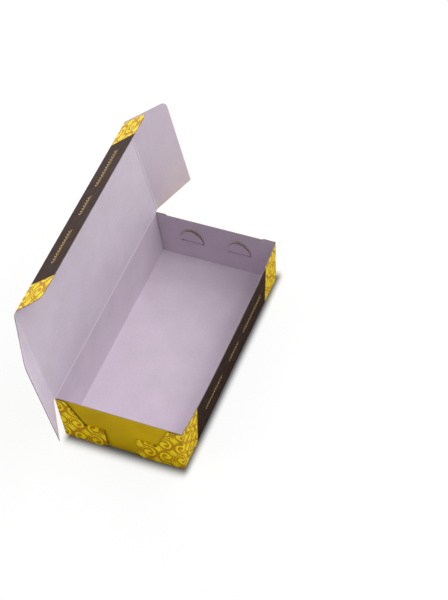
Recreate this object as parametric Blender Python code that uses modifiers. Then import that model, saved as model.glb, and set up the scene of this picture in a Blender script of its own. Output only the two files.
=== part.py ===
"""One-piece pastry carton: a tray locked at its corners, with a hinged lid, in metres, +Z up.

X runs across the carton, from the hinge at -X to the front wall at +X. Y runs along it, from
the near end at -Y to the far end at +Y. The origin is in the middle of the floor's underside.
The carton stands open: the lid leans back and its three flaps are half folded.
"""
import math

import bmesh
import bpy
from mathutils import Matrix, Vector

MM = 0.001

# Board and fits
BOARD = 0.6 * MM             # thickness of the boxboard
FIT = 0.3 * MM               # gap between panels that lie against each other
CREASE = 0.5 * MM            # from a flap's fold line to the edge of each panel beside it

# Tray
TRAY_WIDTH = 127 * MM        # over the long walls, at the floor
TRAY_LENGTH = 244 * MM       # over the corner flaps
TRAY_HEIGHT = 60 * MM
BACK_LEAN = 1.0 * MM         # the back wall leans out by this much at its rim
FRONT_LEAN = 4.0 * MM        # the front wall likewise, at its corners
FRONT_BOW = 3.0 * MM         # the front rim bulges by this much more between its corners
BOW_POWER = 4                # how flat the bulge is along the middle of the wall

# Corner flaps, folded round the outside of the end walls
FLAP_TOP_RUN = 10 * MM       # level stretch at the rim
FLAP_SLOPE_END = 26 * MM     # where the slanted edge meets the tab, from the corner
FLAP_REACH = 47 * MM         # from the corner to the tab's inner end
TAB_HEIGHT = 27 * MM
TAB_CHAMFER = 5 * MM         # cut at the tab's lower inner corner
TAB_RADIUS = 2 * MM
FLAP_SPRING = 1.2            # degrees that a flap stands off the end wall

# Lock tongues, passed through slits in the end walls
TONGUE_PLACE = 37.5 * MM     # middle of a tongue, from the corner
NECK_WIDTH = 19 * MM
TONGUE_WIDTH = 25 * MM       # across the shoulders that hold it inside
TONGUE_HEIGHT = 19 * MM
TONGUE_LEAN = 5.0            # degrees that a tongue leans into the tray from its neck
SLIT_PLAY = 0.4 * MM         # beside and above the neck

# Lid, measured from the hinge line, and its flaps
LID_WIDTH = 129.5 * MM       # hinge line to the front fold
LID_OVERHANG = 2.2 * MM      # fold line of an end flap, past the end of the tray
LID_OPEN = 97.0              # degrees from closed
FRONT_FLAP_DEPTH = 40.5 * MM
FRONT_FLAP_PLAY = 0.7 * MM   # from the end walls' inner faces, when it is tucked in
FRONT_FLAP_TAPER = 3.0 * MM  # each end draws in by this much at the free edge
FRONT_FLAP_RADIUS = 9 * MM
FRONT_FLAP_FOLD = 54.0       # degrees from flat
END_FLAP_DEPTH = 50 * MM
END_FLAP_HINGE_INSET = 0.7 * MM
END_FLAP_FRONT_INSET = 1.5 * MM
END_FLAP_TAPER = 15 * MM     # slant of the edge beside the front fold
END_FLAP_RADIUS = 9 * MM
NEAR_FLAP_FOLD = 33.0        # degrees from flat
FAR_FLAP_FOLD = 22.0

# Mesh resolution
ARC_STEPS = 8                # per rounded corner
TONGUE_STEPS = 24            # round the bow of a tongue
WALL_STEPS = 32              # along a long wall

# Places that follow from the sizes
END_WALL_Y = TRAY_LENGTH / 2 - BOARD - FIT - BOARD / 2
TONGUE_Y = END_WALL_Y - BOARD - FIT
HINGE_X = -(TRAY_WIDTH / 2 + BACK_LEAN - BOARD / 2)
HINGE_Z = TRAY_HEIGHT + FIT + BOARD / 2
LID_LENGTH = TRAY_LENGTH + 2 * LID_OVERHANG
NECK_Z = TAB_HEIGHT + FIT + BOARD / 2

LILAC = (0.50, 0.43, 0.52)
BROWN = (0.032, 0.014, 0.011)
YELLOW = (0.90, 0.70, 0.02)
OLIVE = (0.35, 0.24, 0.01)


def start_scene():
    """Remove what the scene holds and make the two collections."""
    for thing in list(bpy.data.objects):
        bpy.data.objects.remove(thing, do_unlink=True)
    parts = bpy.data.collections.new("pastry_carton")
    cutters = bpy.data.collections.new("cutters")
    for group in (parts, cutters):
        bpy.context.scene.collection.children.link(group)
    return parts, cutters


def board_material(name, colour):
    """Coated boxboard in one printed colour."""
    material = bpy.data.materials.new(name)
    material.use_nodes = True
    shader = material.node_tree.nodes["Principled BSDF"]
    shader.inputs["Base Color"].default_value = (*colour, 1)
    shader.inputs["Roughness"].default_value = 0.45
    shader.inputs["Metallic"].default_value = 0.0
    return material


def rounded_outline(corners):
    """Points of a closed outline whose corners are (x, y, radius), with an arc at each radius."""
    points = []
    for index, (x, y, radius) in enumerate(corners):
        here = Vector((x, y))
        if not radius:
            points.append(here)
            continue
        before = Vector(corners[index - 1][:2]) - here
        after = Vector(corners[(index + 1) % len(corners)][:2]) - here
        before.normalize()
        after.normalize()
        half = before.angle(after) / 2
        centre = here + (before + after).normalized() * radius / math.sin(half)
        first = here + before * radius / math.tan(half) - centre
        sweep = first.angle_signed(here + after * radius / math.tan(half) - centre)
        for step in range(ARC_STEPS + 1):
            turn = Matrix.Rotation(-sweep * step / ARC_STEPS, 2)
            points.append(centre + turn @ first)
    return points


def flat_panel(name, loops, place, material, group, parent=None):
    """A flat piece of board: the first loop is its edge, further loops are slits through it."""
    curve = bpy.data.curves.new(name, "CURVE")
    curve.dimensions = "2D"
    curve.fill_mode = "BOTH"
    curve.extrude = BOARD / 2
    for loop in loops:
        spline = curve.splines.new("POLY")
        spline.points.add(len(loop) - 1)
        for point, (x, y) in zip(spline.points, loop):
            point.co = (x, y, 0, 1)
        spline.use_cyclic_u = True
    curve.materials.append(material)
    piece = bpy.data.objects.new(name, curve)
    group.objects.link(piece)
    piece.parent = parent
    piece.matrix_local = place
    return piece


def solid_from(piece, group):
    """The same piece as a welded mesh, ready for a Boolean."""
    bpy.context.view_layer.update()
    graph = bpy.context.evaluated_depsgraph_get()
    mesh = bpy.data.meshes.new_from_object(piece.evaluated_get(graph))
    shape = bmesh.new()
    shape.from_mesh(mesh)
    bmesh.ops.remove_doubles(shape, verts=shape.verts, dist=0.00001)
    shape.to_mesh(mesh)
    shape.free()
    name = piece.name
    matrix = piece.matrix_world.copy()
    bpy.data.objects.remove(piece, do_unlink=True)
    solid = bpy.data.objects.new(name, mesh)
    solid.matrix_world = matrix
    group.objects.link(solid)
    return solid


def upright(x, y, across):
    """Placement of a drawing that stands up at (x, y), its first axis along +X or -X."""
    return Matrix.Translation((x, y, 0)) @ Matrix((
        (across, 0, 0, 0),
        (0, 0, -across, 0),
        (0, 1, 0, 0),
        (0, 0, 0, 1)))


def lean(side):
    """How far the long wall on a side leans out at its rim."""
    return FRONT_LEAN if side > 0 else BACK_LEAN


def bulge(y, z):
    """How far the front wall stands out at a height, between its pinched corners."""
    along = abs(2 * y / TRAY_LENGTH)
    return FRONT_BOW * (z / TRAY_HEIGHT) * (1 - along ** BOW_POWER)


def long_wall(name, side, material, group):
    """A wall from floor to rim that leans out, and at the front also bulges."""
    length = TRAY_LENGTH - 2 * (BOARD + FIT)
    shape = bmesh.new()
    bmesh.ops.create_grid(shape, x_segments=WALL_STEPS, y_segments=6, size=0.5)
    for corner in shape.verts:
        y = corner.co.x * length
        z = (corner.co.y + 0.5) * TRAY_HEIGHT
        out = TRAY_WIDTH / 2 + lean(side) * z / TRAY_HEIGHT
        if side > 0:
            out += bulge(y, z)
        corner.co = (side * out, side * y, z)
    mesh = bpy.data.meshes.new(name)
    shape.to_mesh(mesh)
    shape.free()
    mesh.materials.append(material)
    mesh.shade_smooth()
    mesh.set_sharp_from_angle(angle=math.radians(40))
    wall = bpy.data.objects.new(name, mesh)
    group.objects.link(wall)
    skin = wall.modifiers.new("board", "SOLIDIFY")
    skin.thickness = BOARD
    skin.offset = -1
    return wall


def floor_panel(material, group):
    """The floor between the four walls."""
    half_x = TRAY_WIDTH / 2 - BOARD - FIT
    half_y = END_WALL_Y - BOARD / 2 - FIT
    edge = [(-half_x, -half_y), (half_x, -half_y), (half_x, half_y), (-half_x, half_y)]
    return flat_panel("floor_panel", [edge], Matrix.Translation((0, 0, BOARD / 2)), material, group)


def slit(centre):
    """The slit that a tongue's neck passes through, drawn on an end wall."""
    half = NECK_WIDTH / 2 + SLIT_PLAY
    low = NECK_Z - BOARD / 2 - FIT
    high = NECK_Z + BOARD / 2 + SLIT_PLAY
    return [(centre - half, low), (centre - half, high), (centre + half, high), (centre + half, low)]


def end_wall(name, end, material, group):
    """An end wall that fits between the leaning long walls, with a slit for each tongue."""
    foot = TRAY_WIDTH / 2 - BOARD - FIT
    back, front = -foot - BACK_LEAN, foot + FRONT_LEAN
    edge = [(-foot, 0), (foot, 0), (front, TRAY_HEIGHT), (back, TRAY_HEIGHT)]
    place = TRAY_WIDTH / 2 - TONGUE_PLACE
    loops = [edge, slit(-place), slit(place)]
    return flat_panel(name, loops, upright(0, end * END_WALL_Y, 1), material, group)


def corner_flap(name, side, end, material, group):
    """The end of a long wall, folded round outside the end wall: a slanted web and a tab."""
    edge = rounded_outline([
        (0, 0, 0),
        (FLAP_REACH - TAB_CHAMFER, 0, 0),
        (FLAP_REACH, TAB_CHAMFER, 0),
        (FLAP_REACH, TAB_HEIGHT, TAB_RADIUS),
        (FLAP_SLOPE_END, TAB_HEIGHT, TAB_RADIUS),
        (FLAP_TOP_RUN, TRAY_HEIGHT, TAB_RADIUS),
        (-lean(side), TRAY_HEIGHT, 0)])
    corner = upright(side * TRAY_WIDTH / 2, end * (TRAY_LENGTH / 2 - BOARD / 2), -side)
    spring = Matrix.Rotation(math.radians(-side * end * FLAP_SPRING), 4, "Z")
    hinge = Matrix.Translation(corner.translation)
    return flat_panel(name, [edge], hinge @ spring @ hinge.inverted() @ corner, material, group)


def lock_tongue(name, side, end, material, group, cutters):
    """A bow-ended tongue that stands inside the end wall, with the neck that passes its slit."""
    bow = []
    for step in range(TONGUE_STEPS + 1):
        turn = math.pi * step / TONGUE_STEPS
        bow.append((TONGUE_WIDTH / 2 * math.cos(turn), TONGUE_HEIGHT * math.sin(turn)))
    x = side * (TRAY_WIDTH / 2 - TONGUE_PLACE)
    foot = NECK_Z - BOARD / 2
    inward = Matrix.Rotation(math.radians(end * TONGUE_LEAN), 4, "X")
    place = Matrix.Translation((x, end * TONGUE_Y, foot)) @ inward @ upright(0, 0, 1)
    tongue = solid_from(flat_panel(name, [bow], place, material, group), group)
    stand_off = TONGUE_PLACE * math.sin(math.radians(FLAP_SPRING))
    outer = TRAY_LENGTH / 2 + stand_off
    bpy.ops.mesh.primitive_cube_add(size=1)
    neck = bpy.context.object
    neck.name = name + "_neck"
    neck.location = (x, end * (outer + TONGUE_Y) / 2, NECK_Z)
    neck.scale = (NECK_WIDTH, outer - TONGUE_Y, BOARD)
    for home in list(neck.users_collection):
        home.objects.unlink(neck)
    cutters.objects.link(neck)
    neck.hide_render = True
    neck.display_type = "WIRE"
    join = tongue.modifiers.new("neck", "BOOLEAN")
    join.operation = "UNION"
    join.object = neck
    return tongue


def fold_line(name, place, group, parent=None):
    """An empty on a fold line, which what lies beyond the fold is parented to."""
    line = bpy.data.objects.new(name, None)
    line.empty_display_size = 0.02
    group.objects.link(line)
    line.parent = parent
    line.matrix_local = place
    return line


def lid_panel(material, group, hinge):
    """The lid itself, from the hinge line to the front fold."""
    far = LID_LENGTH / 2 - CREASE
    reach = LID_WIDTH - CREASE
    edge = [(0, -far), (reach, -far), (reach, far), (0, far)]
    return flat_panel("lid_panel", [edge], Matrix.Identity(4), material, group, hinge)


def lid_front_flap(material, group, fold):
    """The tuck flap, with its free corners rounded."""
    root = END_WALL_Y - BOARD / 2 - FRONT_FLAP_PLAY
    tip = root - FRONT_FLAP_TAPER
    edge = rounded_outline([
        (CREASE, -root, 0),
        (FRONT_FLAP_DEPTH, -tip, FRONT_FLAP_RADIUS),
        (FRONT_FLAP_DEPTH, tip, FRONT_FLAP_RADIUS),
        (CREASE, root, 0)])
    return flat_panel("lid_front_flap", [edge], Matrix.Identity(4), material, group, fold)


def lid_end_flap(name, end, material, group, fold):
    """An end flap: square at the hinge, slanted and rounded beside the front fold."""
    tip = LID_WIDTH - END_FLAP_FRONT_INSET - END_FLAP_TAPER
    corners = [
        (END_FLAP_HINGE_INSET, end * CREASE, 0),
        (LID_WIDTH - END_FLAP_FRONT_INSET, end * CREASE, 0),
        (tip, end * END_FLAP_DEPTH, END_FLAP_RADIUS),
        (END_FLAP_HINGE_INSET, end * END_FLAP_DEPTH, 0)]
    return flat_panel(name, [rounded_outline(corners)], Matrix.Identity(4), material, group, fold)


def build_tray(parts, cutters):
    """Floor, walls, corner flaps and lock tongues."""
    floor_panel(board_material("floor_board", LILAC), parts)
    long_wall("back_wall", -1, board_material("back_wall_board", BROWN), parts)
    long_wall("front_wall", 1, board_material("front_wall_board", BROWN), parts)
    for end, end_name in ((-1, "near"), (1, "far")):
        end_wall(end_name + "_end_wall", end, board_material(end_name + "_wall_board", OLIVE), parts)
        for side, side_name in ((-1, "back"), (1, "front")):
            corner = f"{end_name}_{side_name}"
            flap_board = board_material(corner + "_flap_board", YELLOW)
            corner_flap(corner + "_corner_flap", side, end, flap_board, parts)
            tongue_board = board_material(corner + "_tongue_board", LILAC)
            lock_tongue(corner + "_lock_tongue", side, end, tongue_board, parts, cutters)


def build_lid(parts):
    """Lid panel and its three flaps, each on its fold line."""
    opening = Matrix.Rotation(math.radians(-LID_OPEN), 4, "Y")
    hinge = fold_line("lid_hinge_line", Matrix.Translation((HINGE_X, 0, HINGE_Z)) @ opening, parts)
    lid_panel(board_material("lid_board", BROWN), parts, hinge)
    tuck = Matrix.Rotation(math.radians(FRONT_FLAP_FOLD), 4, "Y")
    front = fold_line("front_fold_line", Matrix.Translation((LID_WIDTH, 0, 0)) @ tuck, parts, hinge)
    lid_front_flap(board_material("front_flap_board", BROWN), parts, front)
    for end, end_name, fold in ((-1, "near", NEAR_FLAP_FOLD), (1, "far", FAR_FLAP_FOLD)):
        turn = Matrix.Rotation(math.radians(-end * fold), 4, "X")
        place = Matrix.Translation((0, end * LID_LENGTH / 2, 0)) @ turn
        line = fold_line(end_name + "_fold_line", place, parts, hinge)
        board = board_material(end_name + "_end_flap_board", YELLOW)
        lid_end_flap(end_name + "_lid_end_flap", end, board, parts, line)


def main():
    parts, cutters = start_scene()
    build_tray(parts, cutters)
    build_lid(parts)


main()
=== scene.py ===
"""Looks of the one-piece pastry carton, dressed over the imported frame.

The carton is one printed sheet of boxboard, so every piece here is a cut piece of board. Its
outline and its print are drawn flat, in millimetres on the blank, the sheet is divided along
the edges of the print, and the divided sheet is folded to its place with a printed face, a
plain inner face and a raw cut edge. On the blank, "across" runs over the lid from the hinge to
the front fold and on into the front flap, and "along" runs from the near end to the far end.
"""
import random
from math import cos, pi, radians, sin, tan, tau

import bmesh
import bpy
import numpy as np
from mathutils import Matrix, Vector
from mathutils.geometry import delaunay_2d_cdt

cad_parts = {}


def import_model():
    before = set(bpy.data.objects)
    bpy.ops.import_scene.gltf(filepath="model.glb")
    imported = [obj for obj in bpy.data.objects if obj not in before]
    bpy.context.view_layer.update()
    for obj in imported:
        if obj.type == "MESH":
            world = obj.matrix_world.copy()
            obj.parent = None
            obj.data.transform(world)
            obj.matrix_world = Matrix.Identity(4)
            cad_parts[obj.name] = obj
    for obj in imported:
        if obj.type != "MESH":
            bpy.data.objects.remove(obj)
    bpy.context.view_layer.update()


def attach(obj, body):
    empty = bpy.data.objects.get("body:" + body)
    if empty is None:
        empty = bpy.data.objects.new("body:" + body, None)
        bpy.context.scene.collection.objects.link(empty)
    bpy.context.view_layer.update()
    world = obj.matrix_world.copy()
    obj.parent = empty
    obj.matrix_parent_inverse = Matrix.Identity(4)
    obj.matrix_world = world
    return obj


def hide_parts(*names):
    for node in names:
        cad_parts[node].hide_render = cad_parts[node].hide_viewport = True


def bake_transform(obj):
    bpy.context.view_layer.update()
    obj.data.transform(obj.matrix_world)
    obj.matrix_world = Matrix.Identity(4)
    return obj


MM = 0.001

# Sizes of the carton, in millimetres, as in the part's source
BOARD = 0.6
HALF = BOARD / 2
FIT = 0.3
CREASE = 0.5
TRAY_WIDTH = 127.0
TRAY_LENGTH = 244.0
TRAY_HEIGHT = 60.0
BACK_LEAN = 1.0
FRONT_LEAN = 4.0
FRONT_BOW = 3.0
BOW_POWER = 4
FLAP_TOP_RUN = 10.0
FLAP_SLOPE_END = 26.0
FLAP_REACH = 47.0
TAB_HEIGHT = 27.0
TAB_CHAMFER = 5.0
TAB_RADIUS = 2.0
FLAP_SPRING = radians(1.2)
TONGUE_PLACE = 37.5
NECK_WIDTH = 19.0
TONGUE_WIDTH = 25.0
TONGUE_HEIGHT = 19.0
TONGUE_LEAN = radians(5)
SLIT_PLAY = 0.4
CORNER_GAP = 0.6
LID_WIDTH = 129.5
LID_OVERHANG = 2.2
LID_OPEN = radians(97)
FRONT_FLAP_DEPTH = 40.5
FRONT_FLAP_PLAY = 0.7
FRONT_FLAP_TAPER = 3.0
FRONT_FLAP_RADIUS = 9.0
FRONT_FLAP_FOLD = radians(54)
END_FLAP_DEPTH = 50.0
END_FLAP_HINGE_INSET = 0.7
END_FLAP_FRONT_INSET = 1.5
END_FLAP_TAPER = 15.0
END_FLAP_RADIUS = 9.0
END_FLAP_FOLD = {-1: radians(33), 1: radians(22)}

END_WALL_Y = TRAY_LENGTH / 2 - BOARD - FIT - HALF
HINGE_X = -(TRAY_WIDTH / 2 + BACK_LEAN - HALF)
HINGE_Z = TRAY_HEIGHT + FIT + HALF
LID_END = TRAY_LENGTH / 2 + LID_OVERHANG
NECK_Z = TAB_HEIGHT + FIT + HALF
TONGUE_X = TRAY_WIDTH / 2 - TONGUE_PLACE
TONGUE_Y = END_WALL_Y - BOARD - FIT
WALL_END = TRAY_LENGTH / 2 - BOARD - FIT
FOOT_X = TRAY_WIDTH / 2 - BOARD - FIT
FOOT_Y = END_WALL_Y - HALF - FIT
SIDES = ((-1, "back"), (1, "front"))
ENDS = ((-1, "near"), (1, "far"))

# Folds of the board, in millimetres
BEND_OUTER = BOARD + FIT  # radius of a fixed fold, on its outer face
BEND_INNER = FIT  # and on its inner face
BEND_START = -0.5  # where a fixed fold begins, before the edge of the panel
BEND_STEPS = 5
SHARP = radians(35)  # smaller angles between faces are shaded smooth
FOLD_STEPS = 8  # across a moving fold
FOLD_LENGTHS = 24  # along a moving fold of the lid
END_FOLD_LENGTHS = 12  # along the fold of an end flap
FOLD_BEAD = 0.12  # how far a moving fold swells on its inner face
INNER_BEAD = 0.6  # and sinks on its printed face, as a share of that
FOLD_MARK_WIDTH = 1.3  # width of the marks beside a fold: ink cracks on the print, and painted highlight and painted shade inside
LID_END_SHADE = 0.85  # painted shade: how dark the lid is inside along its far fold
END_FLAP_CRACKS_AND_HIGHLIGHT = 0.6  # how pale an end flap is along its fold: a painted highlight inside, and ink cracks on its print
WALL_LENGTHS = 32  # along the bulging front wall
WALL_HEIGHTS = (10, 50, 4)  # lowest and highest cut along it, and the spaces between
ARC_STEPS = 8  # per rounded corner
BOW_STEPS = 28  # round the bow of a tongue
NECK_STAGES = 3  # bend at the tongue, run through the slit, bend over the tab
NECK_STEPS = 4  # in each of these
NECK_NOTCH = 0.3  # cut on each side of the neck, at the tongue's shoulders
NECK_SHADE = 0.5  # height of the painted shade at a tongue's foot

# The print, in millimetres on the blank
SPARE = 1.0  # how far cuts and gathered print run past a panel's edge
WELD = 0.0005  # points closer than this become one
BAND = 35.0  # yellow band at each end of the lid
BROWN_OVERLAP = 5.0  # how far the brown field runs past its panel
PAIR_PITCH = 71.7  # scroll pairs of the lid, across
ROW_PITCH = 28.0  # and along
PAIR_GRID = (8, 5)  # columns and rows that cover an end of the blank
PAIR_PLACE = 42.0
ROW_PLACE = LID_END - 12.9
RING_CENTRE = -14.3  # middle of the left scroll of a pair
RUN_ACROSS = 21.0  # running scroll of the walls and flaps, across
RUN_ALONG = 17.5  # and along
RUN_GRID = (24, 7)
MEDALLION = 50.5  # radii of the medallion
MEDALLION_LINE = 47.8
LINE_WIDTH = 0.6
MEDALLION_WINDOW = 32.5
RING_STEPS = 96
WINDOW_STEPS = 72
LEAF_RING = 40.0
LEAF_COUNT = 18
PASTRY_PLACES = ((0, 11.6), (-13.2, 3.6), (13.2, 3.6), (0, -4.4))
PASTRY_LAYERS = (0.18, 0.38, 0.58, 0.78)
CRUMBS = 11
CRUMB_SEED = 7
LAUREL_PITCH = 3.4
LAUREL_LEAF = 0.56  # half the width of a leaf
LAURELS = ((-48.0, 12), (3.0, 7), (51.5, 14))  # place along the brown panels, pairs of leaves
FRONT_FLAP_LAURELS = 20.0  # their line on the front flap, from its fold
BRANCH_SIZE = 1.35  # laurel branches of the end flaps, against the sprigs
BRANCH_LEAF = 0.85
BRANCH_PAIRS = 8
BRANCH_SHIFT = 22.0  # middle of a branch, from the spot between the two
BRANCH_SPOT = 2.0
BRANCH_ACROSS = 62.0  # place of the spot on the blank
BRANCH_DEPTH = 28.0  # and from the flap's fold

# Studio, in metres
LAMP_SIZE = 0.9
LAMP_DISTANCE = 1.7
LAMPS = (  # name, degrees from +X towards +Y, degrees up, watts
    ("right_lamp", 0, 48, 9.7), ("high_lamp", 0, 70, 3.6), ("far_right_lamp", 60, 48, 10.5),
    ("far_lamp", 90, 25, 11.2), ("far_left_lamp", 150, 25, 11.5), ("near_left_lamp", 225, 48, 9.2),
    ("near_right_lamp", 315, 70, 2.8))
WORLD_LIGHT = 0.1
STUDIO_HALF = 6.0
CONTACT_REACH = 0.016  # width of the painted contact shadow round the tray
SIDE_NARROWING = 1.6  # how much narrower it is beside the long walls
CONTACT_SHIFT = 0.003  # how far it is moved towards the front wall
# grey of the painted contact shadow
PAINTED_SHADOW_GREY = (0.17, 0.17, 0.17)
PAPER_GREY = (0.88, 0.88, 0.88)
GLOSS_SHADE = 0.95  # painted shade: how much darker the paper is in reflections
NEAR_WHITE = 0.88  # share of plain white beside the contact
SHADOW_REACH = 0.2  # from the middle of the tray to where plain white begins to grow
WHITE_REACH = 0.6  # and to where it is whole
CAMERA_LENS = 108.0
CAMERA_REACH = 20.0
CAMERA_PLACE = (571.7, -909.8, 1452.9)  # in millimetres
CAMERA_FORWARD = (-0.29822, 0.53701, -0.7891)
CAMERA_UP = (-0.24571, 0.75567, 0.60712)

# Colours, linear, and finishes
LILAC = (0.61, 0.53, 0.615)
WHITE = (0.88, 0.87, 0.85)
SYRUP = (0.30, 0.085, 0.015)
SATIN = 0.075  # gloss of most inks
INKS = (  # name, colour, gloss unless satin, and the colour that mottles it
    ("brown", (0.036, 0.015, 0.009), 0.028),
    ("yellow", (0.92, 0.71, 0.003)),
    ("ochre", (0.53, 0.258, 0.002)),
    ("olive", (0.655, 0.43, 0.004), 0.025),
    ("medallion", (0.27, 0.165, 0.004)),
    ("gold", (0.50, 0.32, 0.10)),
    ("white", WHITE),
    ("syrup", SYRUP),
    ("crust", (0.72, 0.36, 0.08), SATIN, SYRUP),
    ("filling", (0.42, 0.17, 0.035), SATIN, SYRUP),
    ("nut", (0.22, 0.30, 0.03)))
EDGES = (  # key, name and colour
    ("cut_edge", "raw_cut_edge", (0.24, 0.20, 0.18)),
    # tongue edges: tinted by the ink, and darkened with a painted shadow of the gap behind the tongue
    ("ink_and_painted_shadow_edge", "ink_and_painted_shadow_cut_edge", (0.16, 0.10, 0.055)),
    # corner flap edges: brown, darkened with a painted shadow of the gap under the flap
    ("painted_gap_shadow_edge", "painted_gap_shadow_cut_edge", (0.06, 0.035, 0.015)))
NOISE_LOW = 0.3  # what a noise texture mostly keeps between
NOISE_HIGH = 0.7
PAINTED_FOLD_HIGHLIGHT = (0.7, 1.35)  # painted highlight of the inner board along a fold: share of the tone, and the tone
SHADED_DARK = (-0.8, 0.3)  # and its painted shade along a fold


# Materials


def feed(node, inputs):
    """Set or link inputs of a node, given by name or by place."""
    for key, value in inputs.items():
        socket = node.inputs[key]
        if isinstance(value, bpy.types.NodeSocket):
            node.id_data.links.new(value, socket)
        elif socket.type == "RGBA":
            socket.default_value = (*value, 1)
        else:
            socket.default_value = value


def add(tree, kind, inputs=None, **settings):
    """A node of a kind, with its attributes set and its inputs fed."""
    node = tree.nodes.new(kind)
    for name, value in settings.items():
        setattr(node, name, value)
    feed(node, inputs or {})
    return node


def noise(place, scale, detail):
    """Noise over the object, with a scale per metre."""
    given = {"Vector": place, "Scale": scale, "Detail": detail}
    return add(place.id_data, "ShaderNodeTexNoise", given).outputs["Fac"]


def spread(source, low=0, high=1):
    """Noise stretched to run from low to high."""
    given = {"Value": source, "From Min": NOISE_LOW, "From Max": NOISE_HIGH, "To Min": low,
             "To Max": high}
    return add(source.id_data, "ShaderNodeMapRange", given).outputs["Result"]


def mixed(factor, first, second):
    """A colour between two colours or sockets."""
    node = add(factor.id_data, "ShaderNodeMix", {"Factor": factor}, data_type="RGBA")
    places = [i for i, socket in enumerate(node.inputs) if socket.type == "RGBA"]
    feed(node, dict(zip(places, (first, second))))
    return next(socket for socket in node.outputs if socket.type == "RGBA")


def calculate(operation, socket, *others):
    """A Math node on a socket and other sockets or numbers."""
    given = dict(enumerate((socket, *others)))
    return add(socket.id_data, "ShaderNodeMath", given, operation=operation).outputs[0]


def shade(colour, amount):
    """A colour made lighter or darker."""
    return tuple(min(1.0, part * amount) for part in colour)


def new_material(name, colour):
    """An empty board material, the object's own coordinates and the crease attribute of its folds:
    ink cracks, and painted highlight and painted shade on the inner face.
    """
    material = bpy.data.materials.new(name)
    material.use_nodes = True
    material.diffuse_color = (*colour, 1)
    tree = material.node_tree
    place = add(tree, "ShaderNodeTexCoord").outputs["Object"]
    wear_and_painted_light = add(tree, "ShaderNodeAttribute", attribute_name="crease").outputs["Fac"]
    return material, place, wear_and_painted_light


def finish_board(material, colour, roughness, gloss, relief, distance):
    """Set the shader of a board material, with small relief from a height factor."""
    tree = material.node_tree
    given = {"Height": relief, "Distance": distance, "Strength": 1.0}
    feed(tree.nodes["Principled BSDF"], {
        "Base Color": colour, "Roughness": roughness, "Specular IOR Level": gloss,
        "Normal": add(tree, "ShaderNodeBump", given).outputs["Normal"]})


def ink(name, colour, gloss=SATIN, mottle=None):
    """Offset ink under satin varnish, which cracks to white board on a crease."""
    material, place, wear_and_painted_light = new_material(name, colour)
    clouds = spread(noise(place, scale=60, detail=2))
    printed = mixed(clouds, shade(colour, 0.94), shade(colour, 1.05))
    if mottle:
        spots = spread(noise(place, scale=420, detail=4))
        printed = mixed(spots, printed, mottle)
    broken = spread(noise(place, scale=900, detail=5), -0.75, 0.55)
    cracks = calculate("MULTIPLY", calculate("MAXIMUM", wear_and_painted_light, 0), broken)
    varnish = spread(noise(place, scale=140, detail=3), 0.31, 0.43)
    finish_board(material, mixed(cracks, printed, WHITE), varnish, gloss,
                 relief=noise(place, scale=1100, detail=2), distance=0.00002)
    return material


def inner_board(name, colour):
    """Uncoated lilac-grey board: cloudy, fibrous and flecked, with a painted highlight where the
    crease attribute is positive and painted shade where it is negative.
    """
    material, place, wear_and_painted_light = new_material(name, colour)
    clouds = spread(noise(place, scale=35, detail=4))
    toned = mixed(clouds, shade(colour, 0.95), shade(colour, 1.04))
    given = {"Vector": place, "Scale": (1.0, 0.35, 1.0)}
    stretched = add(material.node_tree, "ShaderNodeMapping", given).outputs["Vector"]
    fibres = noise(stretched, scale=1600, detail=4)
    toned = mixed(spread(fibres, 0, 0.24), toned, shade(colour, 0.72))
    flecks = spread(noise(place, scale=520, detail=2), 0, 0.1)
    toned = mixed(flecks, toned, shade(colour, 0.6))
    # painted highlight where the crease attribute is positive, painted shade where it is negative
    for share, tone in (PAINTED_FOLD_HIGHLIGHT, SHADED_DARK):
        toned = mixed(calculate("MULTIPLY", wear_and_painted_light, share), toned, shade(colour, tone))
    finish_board(material, toned, roughness=0.78, gloss=0.2, relief=fibres, distance=0.00004)
    return material


def cut_edge(name, colour):
    """The raw edge of the board: pressed layers of grey pulp."""
    material, place, _ = new_material(name, colour)
    pulp = spread(noise(place, scale=2500, detail=4))
    layered = mixed(pulp, shade(colour, 0.7), shade(colour, 1.15))
    finish_board(material, layered, roughness=0.9, gloss=0.1, relief=pulp, distance=0.00005)
    return material


# Outlines on the blank


def box_loop(low, high):
    """A rectangle between two corners."""
    return [(low[0], low[1]), (high[0], low[1]), (high[0], high[1]), (low[0], high[1])]


def disc(x, y, radius, steps=18):
    """A round spot."""
    return [
        (x + radius * cos(tau * i / steps), y + radius * sin(tau * i / steps))
        for i in range(steps)]


def lozenge(x, y, half_across, half_along):
    """A diamond."""
    return [(x + half_across, y), (x, y + half_along), (x - half_across, y), (x, y - half_along)]


def smooth_path(points, steps=5):
    """Points on a smooth curve through (x, y, half width)."""
    ends = [points[0], *points, points[-1]]
    path = []
    for p0, p1, p2, p3 in zip(ends, ends[1:], ends[2:], ends[3:]):
        for step in range(steps):
            t = step / steps
            path.append(tuple(
                0.5 * (2 * b + (c - a) * t + (2 * a - 5 * b + 4 * c - d) * t * t
                       + (3 * b - a - 3 * c + d) * t ** 3)
                for a, b, c, d in zip(p0, p1, p2, p3)))
    path.append(tuple(points[-1]))
    return path


def stroke(points, steps=5):
    """The outline of a brush stroke that swells and tapers through (x, y, half width)."""
    path = smooth_path(points, steps)
    left, right = [], []
    for index, (x, y, half) in enumerate(path):
        before = path[max(index - 1, 0)]
        after = path[min(index + 1, len(path) - 1)]
        run = Vector((after[0] - before[0], after[1] - before[1])).normalized()
        left.append((x - run.y * half, y + run.x * half))
        right.append((x + run.y * half, y - run.x * half))
    return left + right[::-1]


def around(centre, turns):
    """Control points of a stroke round a centre, from (degrees, radius, half width)."""
    return [
        (centre[0] + radius * cos(radians(angle)),
         centre[1] + radius * sin(radians(angle)), half)
        for angle, radius, half in turns]


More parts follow.
